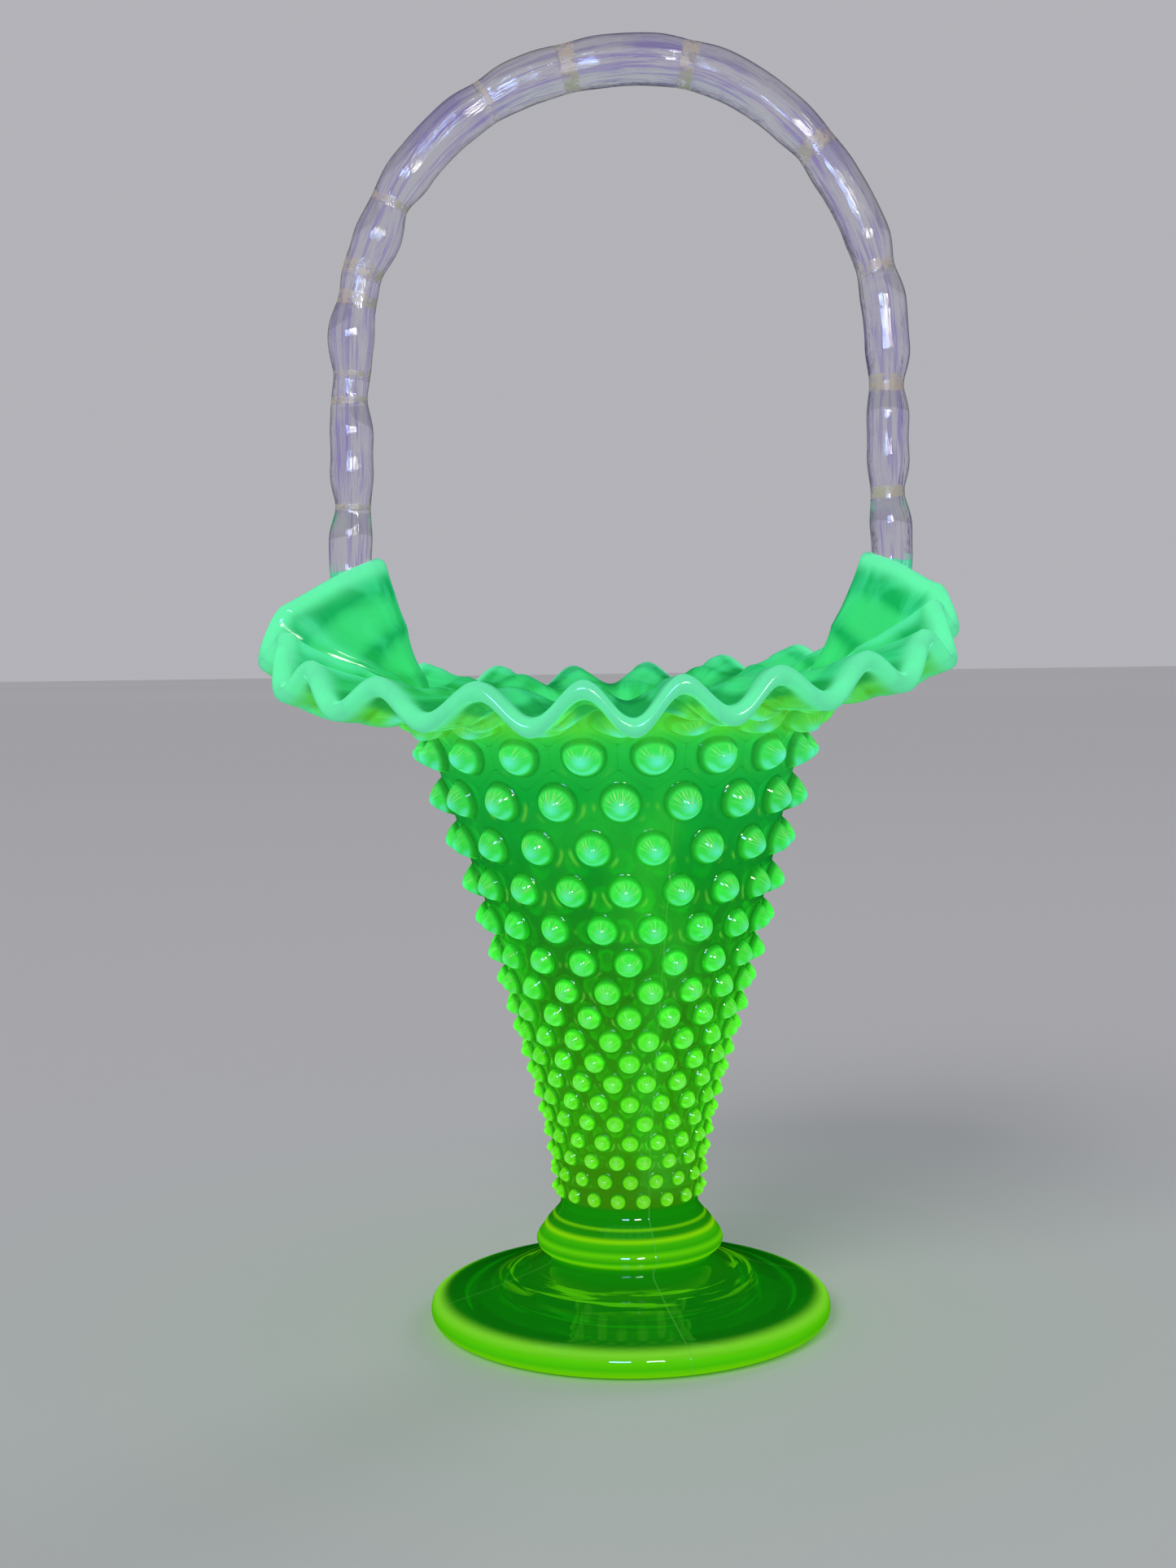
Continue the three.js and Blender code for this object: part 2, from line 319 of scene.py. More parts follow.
def curve_through(knots, steps):
    """Points on a smooth curve through knots, with steps from each knot to the next."""
    knots = np.array(knots, float)
    ends = np.concatenate([[2 * knots[0] - knots[1]], knots, [2 * knots[-1] - knots[-2]]])
    out = []
    for i in range(1, len(ends) - 2):
        a, b, c, d = ends[i - 1:i + 3]
        for t in np.arange(steps) / steps:
            out.append(0.5 * (2 * b + (c - a) * t + (2 * a - 5 * b + 4 * c - d) * t**2
                              + (3 * b - a - 3 * c + d) * t**3))
    out.append(knots[-1])
    return np.array(out)


# Foot and collar, as points (radius, height) of the outline in millimetres
FOOT_CENTRE = 2.2
UNDERSIDE = [(3, FOOT_CENTRE), (20.5, 1.9), (36, 1.6), (39.5, 0.9), (41, 0)]
FOOT = [(41, 0), (47.5, 0), (50.2, 1.2), (51, 3.2), (50.2, 5.6), (47, 7.1), (42, 8.4), (36, 10),
        (29, 12.2), (24, 13.9), (21.2, 15.1)]
COLLAR = [(20.6, 16.2), (21.6, 17.5), (23.3, 18.9), (23.8, 20.4), (23.3, 21.8), (22.2, 23.3),
          (21.2, 24.8), (20, 26.2), (18.9, 27.4), (18.1, 28.4), (17.6, 29.4), (17.5, 30.2)]


def add_foot(skin):
    """Underside with its recess, standing ring, rounded edge, sloping top, neck and collar."""
    for r, z in curve_through(UNDERSIDE, 4):
        skin.ring(place(azimuths, r * MM, z * MM))
    for r, z in curve_through(FOOT + COLLAR, 6)[1:]:
        edge = float(smooth(r, 46, 50)) if z < 8 else 0
        skin.ring(place(azimuths, r * MM, z * MM), edge=edge)


def add_wall(skin):
    """Outer wall with its rows of hobnails, each standing square to the wall."""
    rows = [(base_of(tip), i % 2 == 0) for i, tip in enumerate(row_heights())]
    z = WALL_START
    while z < WALL_TOP:
        radius = wall_radius(z)
        slope = wall_slope(z)
        normal = np.array([1, -slope]) / math.hypot(1, slope)
        spots = []
        for centre, shifted in rows:
            size = HOBNAIL_RADIUS * wall_radius(centre)
            up = (z - centre) * math.hypot(1, slope) / size
            spots.append((up, np.radians(nearest_column(azimuths, shifted)) * radius / size))
        hob, hob_x, hob_y = hobnails_at(spots)
        height = HOBNAIL_HEIGHT * radius * hob
        milk = float(smooth(z, MILK_START, MILK_FULL))
        points = place(azimuths, radius + height * normal[0], z + height * normal[1])
        skin.ring(points, hob=hob, hob_x=hob_x, hob_y=hob_y, milk=milk)
        z += HOBNAIL_RADIUS * radius / 8


def hobnails_at(spots):
    """Height, 0 to 1, and place across and up the nearest hobnail, in radii of its base."""
    nearest = np.full(COLUMNS, 9.0)
    hob_x = np.full(COLUMNS, 9.0)
    hob_y = np.zeros(COLUMNS)
    for up, across in spots:
        distance = np.hypot(up, across)
        nearer = distance < nearest
        nearest = np.where(nearer, distance, nearest)
        hob_x = np.where(nearer, across, hob_x)
        hob_y = np.where(nearer, up, hob_y)
    return hobnail_shape(nearest), hob_x, hob_y


def flare_spots(run, radius):
    """Places in the flare's stretched hobnails at a distance run up it from the wall."""
    top = base_of(row_heights()[-1])
    first = (top - WALL_TOP) * math.hypot(1, wall_slope(top))
    spots = []
    for k in range(-1, 4):
        size = HOBNAIL_RADIUS * wall_radius(WALL_TOP) * (1 + FLARE_GROWTH * max(k, 0))
        width = size * (1 + FLARE_WIDENING * max(k, 0))
        shifted = (HOBNAIL_ROWS - 1 + k) % 2 == 0
        across = np.radians(nearest_column(azimuths, shifted)) * radius
        up = (run - first - k * FLARE_ROW_STEP) / size
        spots.append((up, across / width))
    return spots


def add_flare(skin):
    """Outside of the flare with its stretched hobnails, the rounded edge, then the inside."""
    run = np.zeros(COLUMNS)
    runs = []
    before = None
    for i in range(FLARE_RINGS):
        s = i / FLARE_RINGS
        edge = float(smooth(s, 0.88, 1)) ** 2
        middle, _, outward, fold = flare(s)
        if before is not None:
            run = run + np.linalg.norm(middle - before, axis=1)
        before = middle
        runs.append(run)
        radius = np.hypot(middle[:, 0], middle[:, 1])
        hob, hob_x, hob_y = hobnails_at(flare_spots(run, radius))
        clear = smooth(from_lobe(azimuths), 9, 16)
        clear = clear + (1 - clear) * (1 - smooth(run, 5 * MM, 9 * MM))
        tall = HOBNAIL_HEIGHT * wall_radius(WALL_TOP) * mix(1, 0.12, s**0.8)
        thick = mix(WALL_THICKNESS, RIM_THICKNESS, s) / 2 + tall * hob * clear
        skin.ring(middle + thick[:, None] * outward, hob=hob * clear, hob_x=hob_x, hob_y=hob_y,
                  milk=mix(1.0, 1.5, s), edge=edge, fold=-fold, under=smooth(s, 0, 0.2))
    middle, up, outward, _ = flare(1)
    for turn in np.radians(np.linspace(-90, 90, 13)):
        lift = math.cos(turn) * up - math.sin(turn) * outward
        skin.ring(middle + RIM_THICKNESS / 2 * lift, milk=2.0, edge=1.0)
    for i in range(FLARE_RINGS):
        s = 1 - (i + 1) / FLARE_RINGS
        edge = float(smooth(s, 0.86, 1)) ** 2
        middle, _, outward, fold = flare(s)
        radius = np.hypot(middle[:, 0], middle[:, 1])
        hob = hobnails_at(flare_spots(runs[-1 - i], radius))[0]
        thick = mix(WALL_THICKNESS, RIM_THICKNESS, s) / 2 - PRINT_DEPTH * hob
        skin.ring(middle - thick[:, None] * outward, hob=-hob, milk=mix(1.1, 1.6, s), edge=edge,
                  fold=fold)


def add_cavity(skin):
    """Smooth inside of the bowl, down to its rounded floor."""
    for z in np.arange(WALL_TOP, CAVITY_FILLET_TOP + MM, -2 * MM):
        skin.ring(place(azimuths, wall_radius(z) - WALL_THICKNESS, z),
                  milk=float(smooth(z, MILK_START, MILK_FULL)))
    bottom = wall_radius(CAVITY_FILLET_TOP) - WALL_THICKNESS
    for turn in np.linspace(0, 84, 12):
        a = math.radians(turn)
        r = bottom * math.cos(a)
        z = CAVITY_FILLET_TOP - (CAVITY_FILLET_TOP - CAVITY_FLOOR) * math.sin(a)
        skin.ring(place(azimuths, r, z))


def make_vase():
    """The whole pressing as one closed surface, from under the foot to the cavity's floor."""
    labels = ["hob", "hob_x", "hob_y", "milk", "edge", "fold", "under"]
    skin = Skin((0, 0, FOOT_CENTRE * MM), COLUMNS, labels)
    add_foot(skin)
    add_wall(skin)
    add_flare(skin)
    add_cavity(skin)
    return skin.build("basket_bowl", (0, 0, CAVITY_FLOOR))


# Handle: half of the legs, and the arch, as points of its centre line in millimetres (x, z)
LEG = [(60, 166.5), (63.4, 174), (66.8, 183), (68.1, 192), (67.7, 205), (67.2, 222)]
ARCH = [(-67.2, 240), (-66, 256), (-61.2, 270), (-53.4, 286.5), (-41.4, 300), (-27.8, 309),
        (-14, 314), (0, 316.2), (13, 315.9), (25.5, 312.7), (37.2, 306), (47.2, 297),
        (56, 285), (62.2, 272.5), (66, 258), (67.4, 240)]

# Rod: the radius between its arch and legs, at the top and in the legs, and its shaping. The
# top of the arch is TOP_SHIFT millimetres past the rod's middle.
ROD_RADIUS = 5.6 * MM
ROD_TOP_RADIUS = 6.2 * MM
LEG_RADIUS = 5.2 * MM
ROD_SIDES = 64
ROD_TIP = 2.2 * MM
NODE_REACH = 4.2
TOP_SHIFT = 2
PAD_LENGTH = 30 * MM
END_ROUNDING = 3.5 * MM

# Pinched nodes: distance along the rod from the top of the arch, the side of the deepest notch
# in degrees from the outside of the arch, its depth, and the width of the pale band
NODES = [(-149, 0, 0.22, 0.6), (-122.5, 160, 0.2, 0.7), (-116, 20, 0.2, 0.6),
         (-97.5, 0, 0.22, 1.3), (-90, 180, 0.18, 1.3), (-72, 180, 0.2, 0.7),
         (-37, 20, 0.1, 0.6), (-15, 0, 0.06, 1.6), (15, 0, 0.06, 1.6), (53, 180, 0.1, 1.6),
         (87, 0, 0.18, 1.3), (116, 0, 0.24, 1.7), (143, 10, 0.24, 1.2)]


def make_handle():
    """The rod along its centre line, pinched at its nodes and widened where it meets a lobe."""
    left = [(-x, z) for x, z in LEG]
    path = curve_through(left + ARCH + LEG[::-1], 40) * MM
    gaps = np.linalg.norm(np.diff(path, axis=0), axis=1)
    run = np.concatenate([[0], np.cumsum(gaps)])
    length = run[-1]
    steps = int(length / (0.6 * MM))
    at = np.linspace(0, length, steps + 1)
    x = np.interp(at, run, path[:, 0])
    z = np.interp(at, run, path[:, 1])
    along = np.stack([np.gradient(x, at), np.gradient(z, at)])
    along = along / np.linalg.norm(along, axis=0)
    turn = np.arange(ROD_SIDES) * 2 * np.pi / ROD_SIDES
    first = (x[0] - along[0][0] * ROD_TIP, 0, z[0] - along[1][0] * ROD_TIP)
    skin = Skin(first, ROD_SIDES, ["band", "side", "front", "run"])
    for i in range(steps + 1):
        s = (at[i] - length / 2) / MM - TOP_SHIFT
        from_end = min(at[i], length - at[i])
        radius = mix(ROD_TOP_RADIUS, ROD_RADIUS, float(smooth(abs(s), 0, 60)))
        radius = mix(radius, LEG_RADIUS, float(smooth(abs(s), 95, 125)))
        shape = np.full(ROD_SIDES, radius)
        band = 0.0
        for spot, notch, depth, width in NODES:
            near = (s - spot) / NODE_REACH
            facing = 0.5 + 0.5 * np.cos(turn - math.radians(notch))
            shape *= 1 - math.exp(-(near**2)) * depth * (0.35 + 0.8 * facing)
            shape *= 1 + 0.15 * depth * math.exp(-((abs(near) - 1.9) ** 2) / 0.5)
            band = max(band, math.exp(-(((s - spot) / (1.5 * width)) ** 4)))
        shape *= 1 + 0.022 * np.cos(6 * turn + 0.011 * s)
        pad = 1 - float(smooth(from_end, 0, PAD_LENGTH))
        end = math.sqrt(max(0.02, 1 - max(0, 1 - from_end / END_ROUNDING) ** 2))
        wide = shape * (1 + 0.45 * pad) * end
        deep = shape * (1 - 0.12 * pad) * end
        outward = np.array([-along[1][i], along[0][i]])
        points = np.stack([
            x[i] + outward[0] * deep * np.cos(turn),
            -wide * np.sin(turn),
            z[i] + outward[1] * deep * np.cos(turn),
        ], axis=1)
        skin.ring(points, band=band, side=np.cos(turn), front=np.sin(turn), run=s * MM)
    last = (x[-1] + along[0][-1] * ROD_TIP, 0, z[-1] + along[1][-1] * ROD_TIP)
    return skin.build("arched_handle", last)


class Nodes:
    """Short calls for building one material's node tree."""

    def __init__(self, name):
        self.material = bpy.data.materials.new(name)
        self.material.use_nodes = True
        self.tree = self.material.node_tree
        self.shader = self.tree.nodes["Principled BSDF"]

    def add(self, kind, **inputs):
        node = self.tree.nodes.new(kind)
        for key, value in inputs.items():
            self.put(node.inputs[key.replace("_", " ")], value)
        return node

    def put(self, socket, value):
        if isinstance(value, bpy.types.NodeSocket):
            self.tree.links.new(value, socket)
        else:
            socket.default_value = value

    def value(self, name):
        node = self.tree.nodes.new("ShaderNodeAttribute")
        node.attribute_name = name
        return node.outputs["Fac"]

    def math(self, operation, *values):
        node = self.tree.nodes.new("ShaderNodeMath")
        node.operation = operation
        for socket, value in zip(node.inputs, values):
            self.put(socket, value)
        return node.outputs[0]

    def set(self, name, value):
        self.put(self.shader.inputs[name], value)

    def times(self, first, *others):
        for value in others:
            first = self.math("MULTIPLY", first, value)
        return first

    def length(self, a, b):
        return self.math("SQRT", self.math("ADD", self.times(a, a), self.times(b, b)))

    def vector(self, x, y, z):
        return self.add("ShaderNodeCombineXYZ", X=x, Y=y, Z=z).outputs[0]

    def noise(self, vector, scale, detail, roughness, distortion=0.0):
        node = self.add("ShaderNodeTexNoise", Vector=vector, Scale=scale, Detail=detail,
                        Roughness=roughness, Distortion=distortion)
        return node.outputs["Fac"]

    def range(self, value, low, high, new_low=0.0, new_high=1.0):
        node = self.tree.nodes.new("ShaderNodeMapRange")
        node.interpolation_type = "SMOOTHSTEP"
        for key, item in (("Value", value), ("From Min", low), ("From Max", high),
                          ("To Min", new_low), ("To Max", new_high)):
            self.put(node.inputs[key], item)
        return node.outputs[0]

    def blend(self, factor, a, b):
        node = self.tree.nodes.new("ShaderNodeMix")
        node.data_type = "RGBA"
        self.put(node.inputs["Factor"], factor)
        self.put(node.inputs[6], a)
        self.put(node.inputs[7], b)
        return node.outputs[2]

    def ramp(self, value, stops):
        node = self.tree.nodes.new("ShaderNodeValToRGB")
        self.put(node.inputs["Fac"], value)
        marks = node.color_ramp.elements
        while len(marks) < len(stops):
            marks.new(0.5)
        for mark, (position, colour) in zip(marks, stops):
            mark.position = position
            mark.color = (*colour, 1)
        return node.outputs["Color"]


class BowlNodes(Nodes):
    """The bowl's node tree, with the places and painted marks that its colours depend on."""

    def __init__(self, name):
        super().__init__(name)
        self.spot = self.add("ShaderNodeNewGeometry").outputs["Position"]
        self.x, self.y, self.z = self.add("ShaderNodeSeparateXYZ", Vector=self.spot).outputs
        self.around = self.math("ARCTAN2", self.x, self.times(self.y, -1.0))
        self.radius = self.length(self.x, self.y)
        self.hob = self.value("hob")
        self.hob_x = self.value("hob_x")
        self.hob_y = self.value("hob_y")
        self.reach = self.length(self.hob_x, self.hob_y)
        self.angle = self.math("ARCTAN2", self.hob_x, self.hob_y)
        self.milk = self.value("milk")
        self.edge = self.value("edge")


def hobnail_colour(n):
    """Painted light on each hobnail over the darker wall: painted shade in a dark outline round
    its base, a painted glow in its mint heart, a painted crescent of light below and fine rays of
    painted highlight above.
    """
    height = n.math("DIVIDE", n.z, 200 * MM)
    wall = n.ramp(height, [
        (0.0, (0.0, 0.03, 0.0)), (0.06, (0.0, 0.04, 0.0)), (0.17, (0.06, 0.13, 0.0)),
        (0.42, (0.025, 0.06, 0.005)), (0.58, (0.0, 0.1, 0.02)), (0.68, (0.0, 0.27, 0.05)),
        (0.76, (0.03, 0.5, 0.08)), (0.86, (0.0, 0.32, 0.1)), (0.97, (0.0, 0.34, 0.12))])
    body = n.ramp(height, [
        (0.15, (0.2, 0.85, 0.0)), (0.35, (0.14, 0.95, 0.02)), (0.5, (0.06, 0.92, 0.07)),
        (0.66, (0.05, 0.72, 0.1)), (0.78, (0.07, 0.78, 0.16)), (0.95, (0.03, 0.66, 0.24))])
    bright = n.ramp(height, [
        (0.15, (0.4, 1.0, 0.1)), (0.4, (0.25, 1.0, 0.3)), (0.6, (0.16, 1.0, 0.75)),
        (0.78, (0.18, 1.0, 0.95)), (0.95, (0.1, 0.85, 0.5))])
    outside = n.range(n.hob, 0.02, 0.2)
    heart = n.times(n.range(n.reach, 0.6, 0.0), outside)
    low_arc = n.times(n.range(n.reach, 0.45, 0.62), n.range(n.reach, 0.84, 0.72),
                      n.range(n.hob_y, -0.1, -0.5), outside)
    outline = n.times(n.range(n.reach, 0.76, 0.92), n.range(n.reach, 1.12, 0.98))
    cell = n.vector(n.times(n.angle, 4.2), n.times(n.reach, 0.25), n.times(n.z, 60.0))
    rays = n.times(n.range(n.noise(cell, 3.2, 2.0, 0.6), 0.54, 0.64),
                   n.range(n.hob_y, -0.1, 0.35), n.range(n.reach, 0.86, 0.6), outside)
    colour = n.blend(outside, wall, body)
    # Painted glow in each hobnail's heart and a painted crescent of light low in it.
    colour = n.blend(n.times(heart, 0.85), colour, bright)
    colour = n.blend(n.times(low_arc, 0.55), colour, bright)
    # Painted shade in a dark ring round each hobnail's base.
    colour = n.blend(n.times(outline, 0.7), colour, (0.0, 0.07, 0.003, 1))
    # Painted highlight rays fanning up from each hobnail's heart.
    return n.blend(n.times(rays, 0.7), colour, (0.55, 0.95, 0.4, 1))


def with_wall_light(n, colour):
    """Small caustic crescents low on both sides of the hobnails, and slow streaks in the wall."""
    bend = n.math("ABSOLUTE", n.angle)
    zone = n.times(n.range(n.z, 32 * MM, 40 * MM), n.range(n.z, 147 * MM, 130 * MM))
    crescent = n.times(n.range(n.reach, 1.16, 1.26), n.range(n.reach, 1.46, 1.34),
                       n.range(bend, 1.5, 1.8), n.range(bend, 2.6, 2.2),
                       n.range(n.noise(n.spot, 150.0, 1.0, 0.5), 0.46, 0.58), zone)
    colour = n.blend(n.times(crescent, 0.6), colour, (0.2, 0.55, 0.06, 1))
    stretched = n.vector(n.x, n.y, n.times(n.z, 0.35))
    streak = n.times(n.range(n.noise(stretched, 38.0, 2.0, 0.5), 0.45, 0.7),
                     n.range(n.hob, 0.12, 0.0), zone)
    return n.blend(n.times(streak, 0.4), colour, (0.06, 0.55, 0.05, 1))


def with_collar_light(n, colour):
    """Painted light: bright lines that gather in the collar and neck with painted shade in the
    dark bands between them, and a ring of painted bright arcs on the foot.
    """
    lines = n.ramp(n.range(n.z, 14 * MM, 32 * MM), [
        (0.0, (0.0, 0.1, 0.0)), (0.1, (0.01, 0.2, 0.0)), (0.18, (0.25, 0.85, 0.0)),
        (0.25, (0.04, 0.48, 0.0)), (0.38, (0.2, 0.8, 0.0)), (0.46, (0.04, 0.42, 0.0)),
        (0.56, (0.08, 0.55, 0.0)), (0.63, (0.42, 0.95, 0.0)), (0.7, (0.01, 0.2, 0.0)),
        (0.77, (0.01, 0.15, 0.0)), (0.81, (0.25, 0.7, 0.0)), (0.84, (0.0, 0.15, 0.0))])
    collar = n.times(n.range(n.radius, 24.5 * MM, 23.5 * MM), n.range(n.z, 13.5 * MM, 15.5 * MM),
                     n.range(n.z, 32.2 * MM, 31.2 * MM))
    # Painted light and painted shade in alternating bands round the collar and neck.
    colour = n.blend(n.times(collar, 0.9), colour, lines)
    # Painted light in bright arcs round the foot.
    sweep = n.vector(n.math("SINE", n.around), n.math("COSINE", n.around),
                     n.times(n.radius, 380.0))
    arc = n.times(n.range(n.radius, 24 * MM, 27 * MM), n.range(n.radius, 36 * MM, 29 * MM),
                  n.range(n.noise(sweep, 1.6, 2.0, 0.5, 0.6), 0.5, 0.62),
                  n.range(n.z, 20 * MM, 16 * MM))
    return n.blend(n.times(arc, 0.6), colour, (0.16, 0.75, 0.0, 1))


def with_flare_tones(n, colour):
    """Milky streaks up the flare, prints of the hobnails in it and painted shade under it, a
    darker, yellower green.
    """
    strand = n.vector(n.times(n.around, 7.0), n.times(n.z, 22.0), n.times(n.milk, 0.8))
    opal = n.noise(strand, 2.2, 3.0, 0.55, 0.8)
    milky = n.times(n.range(n.milk, 0.9, 1.5), n.range(opal, 0.38, 0.62))
    colour = n.blend(n.times(milky, 0.5), colour, (0.06, 0.7, 0.38, 1))
    printed = n.range(n.hob, 0.0, -0.7)
    colour = n.blend(n.times(printed, 0.6), colour, (0.06, 0.75, 0.26, 1))
    # Painted shade on the underside of the flare, darker and yellower.
    under = n.times(n.value("under"), n.range(n.reach, 0.1, 0.7, 0.25, 0.6))
    return n.blend(under, colour, (0.14, 0.6, 0.02, 1))


def with_edges_and_folds(n, colour):
    """Glow gathered in the rim and foot edges, painted light on the crests and painted shade in
    the valleys of the crimps.
    """
    rim = n.times(n.edge, n.range(n.z, 100 * MM, 140 * MM))
    colour = n.blend(n.times(rim, 0.9), colour, (0.15, 0.76, 0.46, 1))
    bead = n.ramp(n.range(n.z, 0.0, 8 * MM), [
        (0.05, (0.3, 0.95, 0.0)), (0.3, (0.12, 0.7, 0.0)),
        (0.62, (0.2, 0.85, 0.0)), (0.88, (0.4, 1.0, 0.05))])
    foot = n.times(n.edge, n.range(n.z, 100 * MM, 50 * MM))
    colour = n.blend(n.times(foot, 0.8), colour, bead)
    fold = n.times(n.value("fold"), n.math("SUBTRACT", 1.0, n.edge))
    # Painted light on the crimps' crests and painted shade in their valleys.
    colour = n.blend(n.range(fold, 0.3, 1.0, 0.0, 0.7), colour, (0.12, 0.82, 0.48, 1))
    return n.blend(n.range(fold, 0.0, -0.45, 0.0, 0.8), colour, (0.0, 0.2, 0.06, 1))


def seam_mask(n):
    """Mould seams, four fine lines up the foot and wall."""
    quarter = 2 * math.pi / SEAMS
    turns = n.math("DIVIDE", n.math("SUBTRACT", n.around, math.radians(FIRST_SEAM)), quarter)
    off = n.math("SUBTRACT", n.math("FRACT", n.math("ADD", turns, 4.5)), 0.5)
    apart = n.math("ABSOLUTE", n.times(off, quarter, n.radius))
    return n.times(n.range(apart, 0.3 * MM, 0.05 * MM), n.range(n.z, 140 * MM, 120 * MM),
                   n.range(n.z, 0.5 * MM, 2 * MM))


def add_inner_glow(n):
    """A glow in the glass that builds up along a ray until its own tint balances it."""
    tinted = n.add("ShaderNodeVolumeAbsorption", Color=(0.1, 0.7, 0.0, 1), Density=220.0)
    glow = n.add("ShaderNodeEmission", Color=(0.08, 1.0, 0.05, 1), Strength=11.0)
    both = n.tree.nodes.new("ShaderNodeAddShader")
    n.put(both.inputs[0], tinted.outputs[0])
    n.put(both.inputs[1], glow.outputs[0])
    n.put(n.tree.nodes["Material Output"].inputs["Volume"], both.outputs[0])


def uranium_glass():
    n = BowlNodes("uranium_glass_glow")
    colour = hobnail_colour(n)
    colour = with_wall_light(n, colour)
    colour = with_collar_light(n, colour)
    colour = with_flare_tones(n, colour)
    colour = with_edges_and_folds(n, colour)
    seam = seam_mask(n)
    # The mould seams are real; their tint is a painted highlight along them.
    colour = n.blend(n.times(seam, 0.3), colour, (0.16, 0.5, 0.1, 1))

    # Slow waviness of hand-worked glass, with the seams standing up
    waves = n.noise(n.spot, 90.0, 2.0, 0.5)
    relief = n.math("ADD", n.times(waves, 0.5), n.times(seam, 0.4))
    bump = n.add("ShaderNodeBump", Strength=0.35, Distance=0.6 * MM, Height=relief)

    # The milkier the glass, the softer its gloss and the less light goes through it
    tint = n.blend(n.range(n.milk, 0.3, 1.3, 0.6, 0.15), colour, (0.1, 0.92, 0.1, 1))
    n.set("Base Color", tint)
    n.set("Emission Color", colour)
    n.set("Emission Strength", 0.55)
    n.set("Transmission Weight", n.range(n.milk, 0.0, 1.6, 0.93, 0.35))
    n.set("Roughness", n.range(n.math("ADD", n.milk, waves), 0.4, 2.2, 0.03, 0.14))
    n.set("IOR", GLASS_IOR)
    n.set("Normal", bump.outputs[0])
    add_inner_glow(n)
    return n.material


def clear_glass():
    """Clear rod glass with faint violet streaks along it, a painted reflection of violet light,
    and a frosted pale band at each node.
    """
    n = Nodes("clear_handle_glass")
    band = n.value("band")
    cloud = n.noise(n.add("ShaderNodeNewGeometry").outputs["Position"], 420.0, 3.0, 0.6)
    frost = n.times(n.range(band, 0.35, 0.85), n.range(cloud, 0.36, 0.56))
    wisp = n.vector(n.times(n.value("run"), 14.0), n.times(n.value("side"), 1.6),
                    n.times(n.value("front"), 1.6))
    violet_sheen_and_ripple = n.noise(wisp, 3.0, 3.0, 0.6)
    # Painted reflection: faint violet streaks of reflected light along the rod.
    violet = n.times(n.range(violet_sheen_and_ripple, 0.5, 0.6), 0.75)
    colour = n.blend(violet, (0.9, 0.89, 0.95, 1), (0.42, 0.32, 0.88, 1))
    colour = n.blend(n.times(frost, 0.9), colour, (0.8, 0.68, 0.54, 1))
    relief = n.math("ADD", n.times(violet_sheen_and_ripple, 0.7), n.times(cloud, band, 0.4))
    bump = n.add("ShaderNodeBump", Strength=0.4, Distance=0.8 * MM, Height=relief)
    n.set("Base Color", colour)
    n.set("Transmission Weight", n.math("SUBTRACT", 1.0, n.times(frost, 0.5)))
    n.set("Roughness", n.range(frost, 0.0, 1.0, 0.015, 0.35))
    n.set("IOR", GLASS_IOR)
    n.set("Normal", bump.outputs[0])
    return n.material


def pale_floor():
    n = Nodes("pale_floor")
    grain = n.add("ShaderNodeTexNoise", Scale=12.0, Detail=4.0, Roughness=0.6)
    colour = n.ramp(grain.outputs["Fac"], [(0.3, (0.60, 0.60, 0.615)), (0.7, (0.64, 0.64, 0.65))])
    n.set("Base Color", colour)
    n.set("Roughness", 0.7)
    return n.material


def add_light(name, kind, position, size, power, colour, glint):
    """A lamp aimed at the middle of the vase: soft light, or only a glint in its reflections."""
    data = bpy.data.lights.new(name, kind)
    if kind == "SUN":
        data.angle = size
    else:
        data.size = size
    data.energy = power
    data.color = colour
    lamp = bpy.data.objects.new(name, data)
    lamp.location = position
    lamp.rotation_mode = "QUATERNION"
    aim = mathutils.Vector((0, 0, AIM_HEIGHT)) - lamp.location
    lamp.rotation_quaternion = aim.to_track_quat("-Z", "Y")
    lamp.visible_glossy = glint
    lamp.visible_diffuse = not glint
    lamp.visible_transmission = False
    bpy.context.scene.collection.objects.link(lamp)


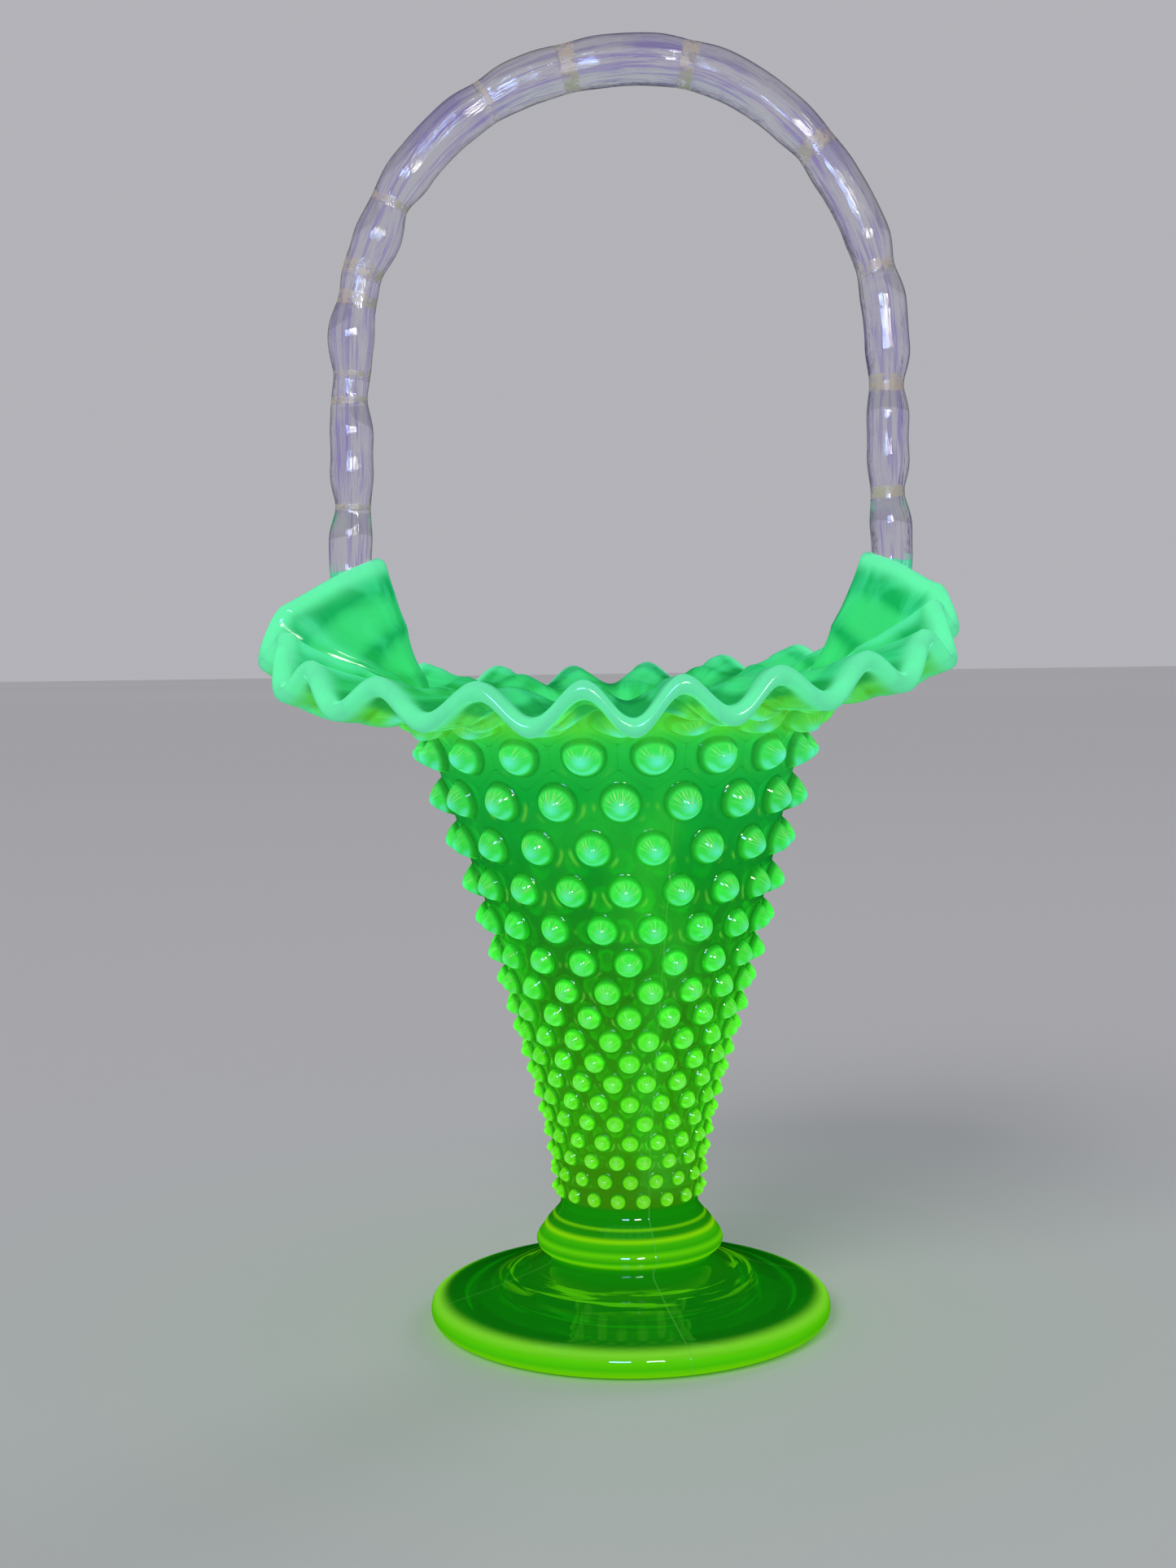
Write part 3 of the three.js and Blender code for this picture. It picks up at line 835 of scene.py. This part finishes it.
def add_stage():
    """A pale floor and world that stay out of mirror reflections, two soft suns, two glints."""
    mesh = bpy.data.meshes.new("floor")
    sides = [(-1, -1), (1, -1), (1, 1), (-1, 1)]
    corners = [(x * FLOOR_REACH, y * FLOOR_REACH, 0) for x, y in sides]
    mesh.from_pydata(corners, [], [(0, 1, 2, 3)])
    floor = bpy.data.objects.new("floor", mesh)
    floor.location = (0, 0, -FLOOR_DROP)
    bpy.context.scene.collection.objects.link(floor)
    mesh.materials.append(pale_floor())
    floor.visible_glossy = False
    world = bpy.data.worlds.new("studio")
    bpy.context.scene.world = world
    world.use_nodes = True
    backdrop = world.node_tree.nodes["Background"]
    backdrop.inputs["Color"].default_value = (0.56, 0.56, 0.6, 1)
    backdrop.inputs["Strength"].default_value = 0.8
    world.cycles_visibility.glossy = False
    softness = math.radians(SUN_SOFTNESS)
    add_light("key", "SUN", (-0.4, -0.8, 0.85), softness, 0.9, (1, 0.98, 0.95), False)
    add_light("back", "SUN", (0.5, 0.7, 0.6), softness, 0.4, (0.93, 0.92, 1), False)
    add_light("blue_glint", "AREA", (-0.08, -0.62, 0.34), 0.13, 1.7, (0.35, 0.5, 1), True)
    add_light("white_glint", "AREA", (0.14, -0.62, 0.36), 0.11, 1.2, (1, 0.97, 0.92), True)


def add_camera():
    """A camera in front of the vase at about the height of its rim, tilted slightly down."""
    data = bpy.data.cameras.new("camera")
    data.lens = LENS
    data.sensor_width = 36
    data.clip_start = 0.01
    camera = bpy.data.objects.new("camera", data)
    camera.rotation_mode = "QUATERNION"
    tilt = mathutils.Quaternion((1, 0, 0), math.radians(90 - PITCH))
    roll = mathutils.Quaternion((0, 0, 1), math.radians(ROLL))
    camera.rotation_quaternion = tilt @ roll
    camera.location = EYE
    bpy.context.scene.collection.objects.link(camera)
    bpy.context.scene.camera = camera


bowl = make_vase()
bowl.data.materials.append(uranium_glass())
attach(bowl, "root")
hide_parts("vase_body")

handle = make_handle()
handle.data.materials.append(clear_glass())
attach(handle, "root")
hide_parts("handle")

add_stage()
add_camera()
bpy.context.scene.view_settings.view_transform = "Standard"
